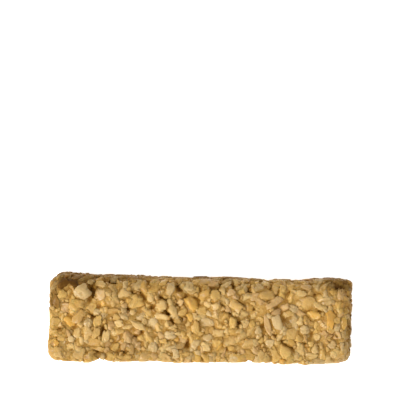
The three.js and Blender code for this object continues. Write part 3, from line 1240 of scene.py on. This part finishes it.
@dataclass
class Binder:
    """The syrup between the bits: it lies low in the gaps, and climbs the sides of the bits."""

    mould: Mould
    rng: np.random.Generator
    pitch: float = 0.52
    stand_off: float = 1.5
    deepest: float = 3.2
    base_depth: float = 0.35
    depth_below: float = 0.35
    deepest_fill: float = 0.9
    fill_bend: float = 0.12
    sag: float = 0.15
    depth_change: float = 0.1
    change_spacing: float = 8.0
    pocket_spacing: float = 4.0
    pocket_rarity: float = 1.0
    pocket_depth: float = 0.8
    settlings: int = 3
    surroundings: int = 9
    clinging: float = 1.5
    # Where in a crevice the syrup tint and painted shade begin, and over what depth they grow.
    untinted_above: float = -0.1
    syrup_and_shade_reach: float = 0.7
    crumb_length: float = 1.1
    crumb_height: float = 0.06
    # The syrup's tone darkens with depth and in the hollows, as painted shade.
    darkest_layer: float = 1.2
    hollow_reach: float = 0.7
    hollow_painted_shade: float = 0.6
    darkest_hollow: float = 2.0
    base_touch: float = 0.01
    streak_spacing: float = 4.0
    streak_strength: float = 0.08

    def __post_init__(self) -> None:
        """Lay a grid over the mould for the syrup to settle on."""
        size = np.array([self.mould.length, self.mould.width, self.mould.thickness])
        grid, self.triangles = self.block(np.round(size / self.pitch).astype(int))
        self.skin = self.mould.onto(grid * size + [0, 0, size[2] / 2])
        self.depth = np.zeros(len(self.skin))

    def settle(self, laid: list[Laid]) -> None:
        """Let the syrup settle round the bits.

        Args:
            laid: the bits where they lie.
        """
        depth = self.sounded(laid)
        level = np.exp(-self.clinging * depth)
        for _ in range(self.settlings):
            level = self.evened(level)
        change = Ripple.drawn(self.rng, self.change_spacing).at(self.skin)
        crumbs = Ripple.drawn(self.rng, self.crumb_length).at(self.skin)
        syrup = self.depth_below - np.log(level) / self.clinging
        syrup = syrup + self.depth_change * change
        pockets = Ripple.drawn(self.rng, self.pocket_spacing).at(self.skin) - self.pocket_rarity
        syrup = syrup + self.pocket_depth * np.maximum(pockets, 0)
        syrup = soft_cap(syrup, self.deepest_fill, self.fill_bend)
        self.layer = np.clip(self.evened(depth) - syrup, 0, self.darkest_layer)
        syrup = syrup + self.sag * self.layer / self.darkest_layer + self.crumb_height * crumbs
        over = self.skin[:, 2] > self.mould.thickness / 2
        # How far into a hollow each point lies, which darkens the syrup there as painted shade.
        self.hollow = np.zeros(len(self.skin))
        for gap in HOLLOWS:
            share = np.exp(-((gap.away(self.skin) / (self.hollow_reach * gap.width)) ** 2)) * over
            syrup = syrup + gap.depth * share
            self.hollow = np.maximum(self.hollow, share * min(gap.depth / self.darkest_hollow, 1))
        on_the_base = self.skin[:, 2] < self.base_touch
        self.depth = np.where(on_the_base, np.minimum(syrup, self.base_depth), syrup)
        self.around = np.minimum(depth, self.depth)
        for _ in range(self.surroundings):
            self.around = self.evened(self.around)
        self.tree = KDTree(len(self.skin))
        for row, point in enumerate(self.skin.tolist()):
            self.tree.insert(point, row)
        self.tree.balance()

    def sounded(self, laid: list[Laid]) -> np.ndarray:
        """Sound how deep under the mould the first bit is met.

        Args:
            laid: the bits where they lie.

        Returns:
            The depth at each point of the grid.
        """
        points, triangles, total = [], [], 0
        for each in laid:
            points.append(each.points)
            triangles.append(each.triangles + total)
            total += len(each.points)
        bits = BVHTree.FromPolygons(
            np.concatenate(points).tolist(), np.concatenate(triangles).tolist(), all_triangles=True
        )
        normals = self.mould.normal(self.skin)
        starts = self.skin + normals * self.stand_off
        depth = np.full(len(self.skin), self.deepest)
        for row, (start, inward) in enumerate(zip(starts.tolist(), (-normals).tolist())):
            met, _, _, distance = bits.ray_cast(
                Vector(start), Vector(inward), self.stand_off + self.deepest
            )
            if met is not None:
                depth[row] = distance - self.stand_off
        return depth

    def evened(self, depth: np.ndarray) -> np.ndarray:
        """Even out the syrup a little between neighbouring points.

        Args:
            depth: its depth under the mould at each point.

        Returns:
            The evened depth.
        """
        total = depth.copy()
        count = np.ones(len(depth))
        for first, second in ((0, 1), (1, 2), (2, 0)):
            one, other = self.triangles[:, first], self.triangles[:, second]
            total += np.bincount(one, depth[other], len(depth))
            total += np.bincount(other, depth[one], len(depth))
            count += np.bincount(one, minlength=len(depth)) + np.bincount(other, minlength=len(depth))
        return total / count

    def syrup_and_crevice_shade_at(self, points: np.ndarray) -> np.ndarray:
        """Tell how deep points lie among the bits round them, where the syrup gathers and painted
        shade darkens the crevices.

        Args:
            points: rows of x, y and z.

        Returns:
            From 0, on top, to 1, in a deep gap.
        """
        under = -self.mould.distance(points)
        near = [self.tree.find(point)[1] for point in points.tolist()]
        gap = (under - self.around[near] - self.untinted_above) / self.syrup_and_shade_reach
        return np.clip(gap, 0, 1)

    def assemble(self) -> Assembled:
        """Make the settled syrup's mesh.

        Returns:
            The mesh.
        """
        heap = Assembled("syrup_binder")
        streaks = self.streak_strength * Ripple.drawn(self.rng, self.streak_spacing).at(self.skin)
        surface = self.mould.onto(self.skin, -self.depth)
        # Painted shade: the syrup darkens the further it lies below the bits round it, and darker
        # still in the hollows; the streaks are its own uneven tone.
        tone = 1 - self.layer / self.darkest_layer + streaks - self.hollow_painted_shade * self.hollow
        heap.add(
            surface,
            self.triangles,
            tone=np.clip(tone, 0, 1),
            # Painted shade on the rims and ends, and browner spots.
            browned=shade_and_browning_at(surface),
            sink=self.syrup_and_crevice_shade_at(surface),
            lot=np.zeros(len(self.skin)),
        )
        return heap

    @staticmethod
    def block(cells: np.ndarray) -> tuple[np.ndarray, np.ndarray]:
        """Make a gridded block, one unit long, wide and high, about its middle.

        Args:
            cells: how many cells it has each way.

        Returns:
            Its points and its triangles.
        """
        points: dict[tuple[int, int, int], int] = {}
        quads = []

        def corner(key: tuple[int, int, int]) -> int:
            """Give the number of the point at a place in the grid."""
            return points.setdefault(key, len(points))

        for axis in range(3):
            first, second = [other for other in range(3) if other != axis]
            for end in (0, int(cells[axis])):
                flip = (end == 0) != (axis == 1)
                for i in range(cells[first]):
                    for j in range(cells[second]):
                        ring = []
                        for di, dj in ((0, 0), (1, 0), (1, 1), (0, 1)):
                            key = [0, 0, 0]
                            key[axis], key[first], key[second] = end, i + di, j + dj
                            ring.append(corner(tuple(key)))
                        quads.append(ring[::-1] if flip else ring)
        square = np.array(quads)
        triangles = np.concatenate([square[:, [0, 1, 2]], square[:, [0, 2, 3]]])
        return np.array(list(points)) / cells - 0.5, triangles


# ---- Finishes -----------------------------------------------------------------------------------


class Effect(Enum):
    """The effects that several finishes share, each a node group."""

    TONES = "bit_tones"
    GLAZE = "syrup_glaze"
    BROKEN = "broken_grain"


def feed(tree: bpy.types.NodeTree, socket: bpy.types.NodeSocket, value: Given) -> None:
    """Link a socket to another, or set it.

    Args:
        tree: the nodes that the socket is among.
        socket: the input.
        value: a socket to link, a number or a colour.
    """
    if isinstance(value, bpy.types.NodeSocket):
        tree.links.new(value, socket)
    else:
        socket.default_value = (*value, 1.0) if isinstance(value, tuple) else value


@dataclass(frozen=True)
class EffectMaker:
    """Makes the node groups for the shared effects. Sizes are in millimetres."""

    lots: float = 90.0
    mottle_gain: float = 3.0
    # Noise patches in the painted shade and browning.
    shade_and_browning_patch: float = 2.6
    shade_and_browning_gain: float = 2.2
    shade_and_browning_start: float = -0.1
    film_patch: float = 2.2
    film_gain: float = 5.0
    film_start: float = -2.15
    pit_spacing: float = 0.55
    pit_reach: float = 0.28

    @staticmethod
    def group(
        effect: Effect, inputs: dict[str, float | Colour], outputs: dict[str, str]
    ) -> bpy.types.NodeTree:
        """Make an empty group with its sockets.

        Args:
            effect: which effect it is.
            inputs: the default value under each input's name; a colour is a tuple.
            outputs: the kind of socket under each output's name.

        Returns:
            The group, with its input and output nodes.
        """
        tree = bpy.data.node_groups.new(effect.value, "ShaderNodeTree")
        for name, value in inputs.items():
            kind = "NodeSocketColor" if isinstance(value, tuple) else "NodeSocketFloat"
            socket = tree.interface.new_socket(name, in_out="INPUT", socket_type=kind)
            socket.default_value = (*value, 1.0) if isinstance(value, tuple) else value
        for name, kind in outputs.items():
            tree.interface.new_socket(name, in_out="OUTPUT", socket_type=kind)
        tree.nodes.new("NodeGroupInput")
        tree.nodes.new("NodeGroupOutput")
        return tree

    @staticmethod
    def reckon(
        tree: bpy.types.NodeTree, operation: str, *values: Given, clamp: bool = False
    ) -> bpy.types.NodeSocket:
        """Add a Math node.

        Args:
            tree: where to add it.
            operation: what it does.
            values: numbers, or sockets to link.
            clamp: whether the result stays from 0 to 1.

        Returns:
            Its output.
        """
        node = tree.nodes.new("ShaderNodeMath")
        node.operation = operation
        node.use_clamp = clamp
        for socket, value in zip(node.inputs, values):
            feed(tree, socket, value)
        return node.outputs[0]

    @staticmethod
    def mixed(
        tree: bpy.types.NodeTree, factor: Given, a: Given, b: Given, blend: str = "MIX"
    ) -> bpy.types.NodeSocket:
        """Add a Mix node for colours.

        Args:
            tree: where to add it.
            factor: how much of the second colour there is.
            a: the first colour.
            b: the second colour.
            blend: how they are mixed.

        Returns:
            Its output.
        """
        node = tree.nodes.new("ShaderNodeMix")
        node.data_type = "RGBA"
        node.blend_type = blend
        node.clamp_factor = True
        colour_sockets = {0: factor, 6: a, 7: b}
        for number, value in colour_sockets.items():
            feed(tree, node.inputs[number], value)
        colour_result = 2
        return node.outputs[colour_result]

    @staticmethod
    def mark(tree: bpy.types.NodeTree, name: str) -> bpy.types.NodeSocket:
        """Read one of the numbers kept at each point of a mesh.

        Args:
            tree: where to add the node.
            name: which number.

        Returns:
            The number.
        """
        node = tree.nodes.new("ShaderNodeAttribute")
        node.attribute_name = name
        return node.outputs["Fac"]

    def noise(
        self, tree: bpy.types.NodeTree, size: Given, detail: float = 3.0, roughness: float = 0.6
    ) -> bpy.types.NodeSocket:
        """Add noise that is different in each bit.

        Args:
            tree: where to add it.
            size: how wide its lumps are, in millimetres, as a number or a socket.
            detail: how many finer layers it has.
            roughness: how strong they are.

        Returns:
            Its height, about 0.5 in the mean.
        """
        place = tree.nodes.new("ShaderNodeTexCoord")
        node = tree.nodes.new("ShaderNodeTexNoise")
        node.noise_dimensions = "4D"
        node.inputs["Detail"].default_value = detail
        node.inputs["Roughness"].default_value = roughness
        tree.links.new(place.outputs["Object"], node.inputs["Vector"])
        feed(tree, node.inputs["W"], self.reckon(tree, "MULTIPLY", self.mark(tree, "lot"), self.lots))
        feed(tree, node.inputs["Scale"], self.reckon(tree, "DIVIDE", 1 / MM, size))
        return node.outputs["Fac"]

    def tones(self) -> bpy.types.NodeTree:
        """Make the colours of bits: each has its own tone and is mottled, and in patches it is
        darkened by painted shade on the rims and ends and by browner spots.

        Returns:
            The group.
        """
        tree = self.group(
            Effect.TONES,
            {
                "Pale": (0.8, 0.8, 0.8),
                "Middle": (0.5, 0.5, 0.5),
                "Deep": (0.2, 0.2, 0.2),
                "Mottle": 0.3,
                "Mottle Size": 1.4,
                "Browning": (0.4, 0.38, 0.33),
            },
            {"Color": "NodeSocketColor"},
        )
        given, result = tree.nodes[0].outputs, tree.nodes[1].inputs
        mottling = self.noise(tree, given["Mottle Size"], detail=4.0, roughness=0.65)
        strength = self.reckon(tree, "MULTIPLY", given["Mottle"], self.mottle_gain)
        spread = self.reckon(tree, "MULTIPLY", self.reckon(tree, "SUBTRACT", mottling, 0.5), strength)
        tone = self.reckon(tree, "ADD", self.mark(tree, "tone"), spread, clamp=True)
        lower = self.reckon(tree, "MULTIPLY", tone, 2.0, clamp=True)
        upper = self.reckon(tree, "MULTIPLY_ADD", tone, 2.0, -1.0, clamp=True)
        deep = self.mixed(tree, lower, given["Deep"], given["Middle"])
        pale = self.mixed(tree, upper, deep, given["Pale"])
        patches = self.noise(tree, self.shade_and_browning_patch)
        patch = self.reckon(tree, "MULTIPLY_ADD", patches, self.shade_and_browning_gain, self.shade_and_browning_start)
        browned = self.reckon(tree, "MULTIPLY", self.mark(tree, "browned"), patch, clamp=True)
        # The colour where painted shade and browning darken it.
        brown = self.mixed(tree, 1.0, pale, given["Browning"], blend="MULTIPLY")
        feed(tree, result["Color"], self.mixed(tree, browned, pale, brown))
        return tree

    def glaze(self) -> bpy.types.NodeTree:
        """Make the film of syrup: thin and patchy on the bits' tops, and a syrup tint in the gaps
        between bits that also paints the shade there.

        Returns:
            The group.
        """
        tree = self.group(
            Effect.GLAZE,
            {"Color": (0.5, 0.5, 0.5), "Syrup": (0.7, 0.45, 0.2), "Patches": 0.4, "Gaps": 1.0},
            {"Color": "NodeSocketColor", "Film": "NodeSocketFloat"},
        )
        given, result = tree.nodes[0].outputs, tree.nodes[1].inputs
        patches = self.noise(tree, self.film_patch, roughness=0.55)
        film = self.reckon(
            tree, "MULTIPLY_ADD", patches, self.film_gain, self.film_start, clamp=True
        )
        patch = self.reckon(tree, "MULTIPLY", film, given["Patches"])
        # Syrup and painted shade in the crevices.
        gap = self.reckon(tree, "MULTIPLY", self.mark(tree, "sink"), given["Gaps"])
        syrup_and_shade_share = self.reckon(tree, "ADD", patch, gap, clamp=True)
        tinted = self.mixed(tree, 1.0, given["Color"], given["Syrup"], blend="MULTIPLY")
        feed(tree, result["Color"], self.mixed(tree, syrup_and_shade_share, given["Color"], tinted))
        bare = self.reckon(tree, "ADD", gap, self.mark(tree, "browned"))
        feed(tree, result["Film"], self.reckon(tree, "SUBTRACT", film, bare, clamp=True))
        return tree

    def broken(self) -> bpy.types.NodeTree:
        """Make the relief of a broken face: lumps with finer grain and small pits.

        Returns:
            The group.
        """
        tree = self.group(
            Effect.BROKEN,
            {"Lump Size": 1.2, "Grain Size": 0.35, "Grain": 0.5, "Pits": 0.3},
            {"Height": "NodeSocketFloat"},
        )
        given, result = tree.nodes[0].outputs, tree.nodes[1].inputs
        lumps = self.noise(tree, given["Lump Size"], detail=2.0, roughness=0.5)
        grain = self.noise(tree, given["Grain Size"], detail=2.0)
        place = tree.nodes.new("ShaderNodeTexCoord")
        cells = tree.nodes.new("ShaderNodeTexVoronoi")
        cells.inputs["Scale"].default_value = 1 / (self.pit_spacing * MM)
        feed(tree, cells.inputs["Vector"], place.outputs["Object"])
        pit = self.reckon(tree, "SUBTRACT", self.pit_reach, cells.outputs["Distance"], clamp=True)
        height = self.reckon(tree, "MULTIPLY_ADD", grain, given["Grain"], lumps)
        pits = self.reckon(tree, "MULTIPLY", pit, given["Pits"])
        feed(tree, result["Height"], self.reckon(tree, "SUBTRACT", height, pits))
        return tree

    def make(self) -> None:
        """Make all the groups."""
        self.tones()
        self.glaze()
        self.broken()


@dataclass(frozen=True)
class BitFinish:
    """How bits of one kind look: their tones, their syrup and their broken faces."""

    name: str
    pale: Colour
    middle: Colour
    deep: Colour
    # Tints the gaps between bits: partly the syrup gathered there, partly painted shade.
    syrup: Colour = (0.65, 0.51, 0.25)
    # Multiplied in where the bar is darkened: painted shade on the rims and ends, and browner spots.
    shade_and_browning_colour: Colour = (0.39, 0.32, 0.17)
    mottle: float = 0.45
    mottle_size: float = 1.4
    patches: float = 0.2
    gaps: float = 1.0
    lump_size: float = 0.9
    grain_size: float = 0.35
    grain: float = 0.65
    pits: float = 0.3
    relief: float = 0.208
    roughness: float = 0.5
    wet_roughness: float = 0.32
    shine: float = 0.75
    coat_roughness: float = 0.12
    specular: float = 0.08
    glow: float = 0.35
    glow_depth: float = 1.0
    glow_spread: Colour = (1.0, 0.7, 0.4)

    @staticmethod
    def placed(
        tree: bpy.types.NodeTree, effect: Effect, **values: Given
    ) -> bpy.types.ShaderNodeGroup:
        """Place a shared effect in the material.

        Args:
            tree: the material's nodes.
            effect: which effect.
            values: its inputs; an underscore stands for a space.

        Returns:
            The group node.
        """
        node = tree.nodes.new("ShaderNodeGroup")
        node.node_tree = bpy.data.node_groups[effect.value]
        for name, value in values.items():
            feed(tree, node.inputs[name.replace("_", " ")], value)
        return node

    def material(self) -> bpy.types.Material:
        """Make the material.

        Returns:
            The material.
        """
        material = bpy.data.materials.new(self.name)
        material.use_nodes = True
        tree = material.node_tree
        shader = tree.nodes["Principled BSDF"]
        tones = self.placed(
            tree, Effect.TONES, Pale=self.pale, Middle=self.middle, Deep=self.deep,
            Mottle=self.mottle, Mottle_Size=self.mottle_size, Browning=self.shade_and_browning_colour,
        )
        glaze = self.placed(
            tree, Effect.GLAZE, Color=tones.outputs["Color"], Syrup=self.syrup,
            Patches=self.patches, Gaps=self.gaps,
        )
        broken = self.placed(
            tree, Effect.BROKEN, Lump_Size=self.lump_size, Grain_Size=self.grain_size,
            Grain=self.grain, Pits=self.pits,
        )
        bump = tree.nodes.new("ShaderNodeBump")
        bump.inputs["Distance"].default_value = self.relief * MM
        bump.inputs["Strength"].default_value = 1.0
        dryness = tree.nodes.new("ShaderNodeMapRange")
        dryness.inputs["To Min"].default_value = self.roughness
        dryness.inputs["To Max"].default_value = self.wet_roughness
        coat = tree.nodes.new("ShaderNodeMath")
        coat.operation = "MULTIPLY"
        coat.inputs[1].default_value = self.shine
        feed(tree, bump.inputs["Height"], broken.outputs["Height"])
        feed(tree, dryness.inputs["Value"], glaze.outputs["Film"])
        feed(tree, coat.inputs[0], glaze.outputs["Film"])
        feed(tree, shader.inputs["Base Color"], glaze.outputs["Color"])
        feed(tree, shader.inputs["Roughness"], dryness.outputs["Result"])
        feed(tree, shader.inputs["Coat Weight"], coat.outputs[0])
        feed(tree, shader.inputs["Normal"], bump.outputs["Normal"])
        shader.inputs["Coat Roughness"].default_value = self.coat_roughness
        shader.inputs["Specular IOR Level"].default_value = self.specular
        shader.inputs["Subsurface Weight"].default_value = self.glow
        shader.inputs["Subsurface Radius"].default_value = self.glow_spread
        shader.inputs["Subsurface Scale"].default_value = self.glow_depth * MM
        return material


FINISHES = {
    Stuff.CREAM_NUT: BitFinish(
        "cream_nut",
        pale=(0.629, 0.428, 0.172),
        middle=(0.558, 0.363, 0.13),
        deep=(0.487, 0.296, 0.0921),
    ),
    Stuff.TOASTED_NUT: BitFinish(
        "toasted_nut",
        pale=(0.619, 0.395, 0.123),
        middle=(0.548, 0.334, 0.0931),
        deep=(0.467, 0.263, 0.0617),
    ),
    Stuff.ROSY_NUT: BitFinish(
        "rosy_nut",
        pale=(0.609, 0.4, 0.169),
        middle=(0.528, 0.33, 0.128),
        deep=(0.436, 0.258, 0.0921),
    ),
    Stuff.GRAIN: BitFinish(
        "puffed_grain",
        pale=(0.599, 0.427, 0.201),
        middle=(0.533, 0.365, 0.155),
        deep=(0.447, 0.291, 0.108),
        mottle=0.32, lump_size=0.7, pits=0.9, relief=0.18,
    ),
    Stuff.FLAKE: BitFinish(
        "cereal_flake",
        pale=(0.599, 0.386, 0.132),
        middle=(0.528, 0.325, 0.1),
        deep=(0.447, 0.254, 0.0686),
        mottle=0.4,
    ),
    Stuff.FRUIT: BitFinish(
        "dried_fruit",
        pale=(0.619, 0.376, 0.096),
        middle=(0.579, 0.325, 0.0686),
        deep=(0.528, 0.263, 0.0441),
        mottle=0.25, mottle_size=2.2, lump_size=1.6, grain=0.25, pits=0.1, roughness=0.4,
        wet_roughness=0.3, glow=0.5, glow_depth=1.6,
    ),
    Stuff.SKIN: BitFinish(
        "nut_skin",
        pale=(0.386, 0.216, 0.048),
        middle=(0.294, 0.15, 0.0274),
        deep=(0.203, 0.095, 0.0157),
        mottle=0.45, lump_size=0.6, relief=0.1, glow=0.05,
    ),
    Stuff.CRUMB: BitFinish(
        "crumb",
        pale=(0.599, 0.39, 0.145),
        middle=(0.528, 0.33, 0.104),
        deep=(0.447, 0.254, 0.0686),
        mottle=0.4, patches=0.6,
    ),
}

# Its deep colour shows where the syrup lies deepest and in the hollows, as painted shade.
BINDER_FINISH = BitFinish(
    "syrup",
    pale=(0.57, 0.367, 0.123),
    middle=(0.46, 0.268, 0.066),
    deep=(0.28, 0.141, 0.021),
    mottle=0.3, mottle_size=1.2, patches=0.4, lump_size=0.7, grain=0.7, pits=0.4, relief=0.26,
    roughness=0.5, wet_roughness=0.38, glow_depth=1.2,
)


# ---- The studio ---------------------------------------------------------------------------------


@dataclass(frozen=True)
class Lamp:
    """A soft square lamp that faces a point on the bar."""

    name: str
    place: Place
    size: float
    power: float

    def build(self) -> None:
        """Make the lamp."""
        lamp = bpy.data.lights.new(self.name, "AREA")
        lamp.shape = "SQUARE"
        lamp.size = self.size
        lamp.energy = self.power
        fixture = bpy.data.objects.new(self.name, lamp)
        fixture.location = self.place
        fixture.rotation_euler = Vector(self.place).to_track_quat("Z", "Y").to_euler()
        bpy.context.scene.collection.objects.link(fixture)


@dataclass(frozen=True)
class Studio:
    """A pale floor, soft light from the front left, and a camera that looks straight down."""

    pixel: float = 0.345
    frame_pixels: float = 400.0
    bar_offset: float = 119.6
    roll: float = 1.0
    lens: float = 120.0
    sensor: float = 36.0
    lamp: Lamp = Lamp("key", (-0.56, -0.34, 0.52), size=0.75, power=8.75)
    sky: float = 0.73
    sky_colour: Colour = (1.0, 1.0, 1.0)
    floor_reach: float = 1.5
    floor_colour: Colour = (0.93, 0.93, 0.92)
    floor_roughness: float = 0.85
    floor_specular: float = 0.2
    floor_glow: float = 0.65

    def floor(self) -> None:
        """Make the floor."""
        mesh = bpy.data.meshes.new("floor")
        reach = self.floor_reach
        corners = [(-reach, -reach, 0), (reach, -reach, 0), (reach, reach, 0), (-reach, reach, 0)]
        mesh.from_pydata(corners, [], [(0, 1, 2, 3)])
        material = bpy.data.materials.new("pale_floor")
        material.use_nodes = True
        shader = material.node_tree.nodes["Principled BSDF"]
        shader.inputs["Base Color"].default_value = (*self.floor_colour, 1.0)
        shader.inputs["Roughness"].default_value = self.floor_roughness
        shader.inputs["Specular IOR Level"].default_value = self.floor_specular
        shader.inputs["Emission Color"].default_value = (*self.sky_colour, 1.0)
        shader.inputs["Emission Strength"].default_value = self.floor_glow
        mesh.materials.append(material)
        floor = bpy.data.objects.new("floor", mesh)
        bpy.context.scene.collection.objects.link(floor)

    def camera(self) -> None:
        """Make the camera, over the middle of the photographed frame."""
        roll = math.radians(self.roll)
        away = self.bar_offset * self.pixel * MM
        frame_width = self.frame_pixels * self.pixel * MM
        height = frame_width * self.lens / self.sensor + Mould.thickness * MM
        data = bpy.data.cameras.new("camera")
        data.lens = self.lens
        data.sensor_width = self.sensor
        camera = bpy.data.objects.new("camera", data)
        camera.location = (-math.sin(roll) * away, math.cos(roll) * away, height)
        camera.rotation_euler = (0, 0, roll)
        bpy.context.scene.collection.objects.link(camera)
        bpy.context.scene.camera = camera

    def build(self) -> None:
        """Set the studio up."""
        self.floor()
        self.camera()
        self.lamp.build()
        world = bpy.data.worlds.new("studio")
        world.use_nodes = True
        sky = world.node_tree.nodes["Background"]
        sky.inputs["Color"].default_value = (*self.sky_colour, 1.0)
        sky.inputs["Strength"].default_value = self.sky
        bpy.context.scene.world = world
        bpy.context.scene.view_settings.view_transform = "Standard"


# ---- The bar ------------------------------------------------------------------------------------


def main() -> None:
    """Build the bar and its studio, and report each piece."""
    logging.basicConfig(level=logging.INFO, format="%(name)s %(message)s")
    rng = np.random.default_rng(SEED)
    mould = Mould(hills=Ripple.drawn(rng, wavelength=8.5))
    shapes = Carver(rng).carve()
    packing = Packing(mould, rng)
    packing.lay_under()
    packing.lay_landmarks()
    packing.keep_hollows()
    packing.scatter(SIZE_CLASSES)
    log.info("bits laid: %d", len(packing.bits))
    EffectMaker().make()
    filling = Filling(mould, np.random.default_rng(SEED + 1))
    laid = filling.fill(packing.bits, shapes)
    binder = Binder(mould, np.random.default_rng(SEED + 2))
    binder.settle(laid)
    for stuff, heap in filling.join(laid, binder).items():
        if heap.total:
            heap.piece(FINISHES[stuff].material())
    binder.assemble().piece(BINDER_FINISH.material())
    Studio().build()


if __name__ == "__main__":
    main()
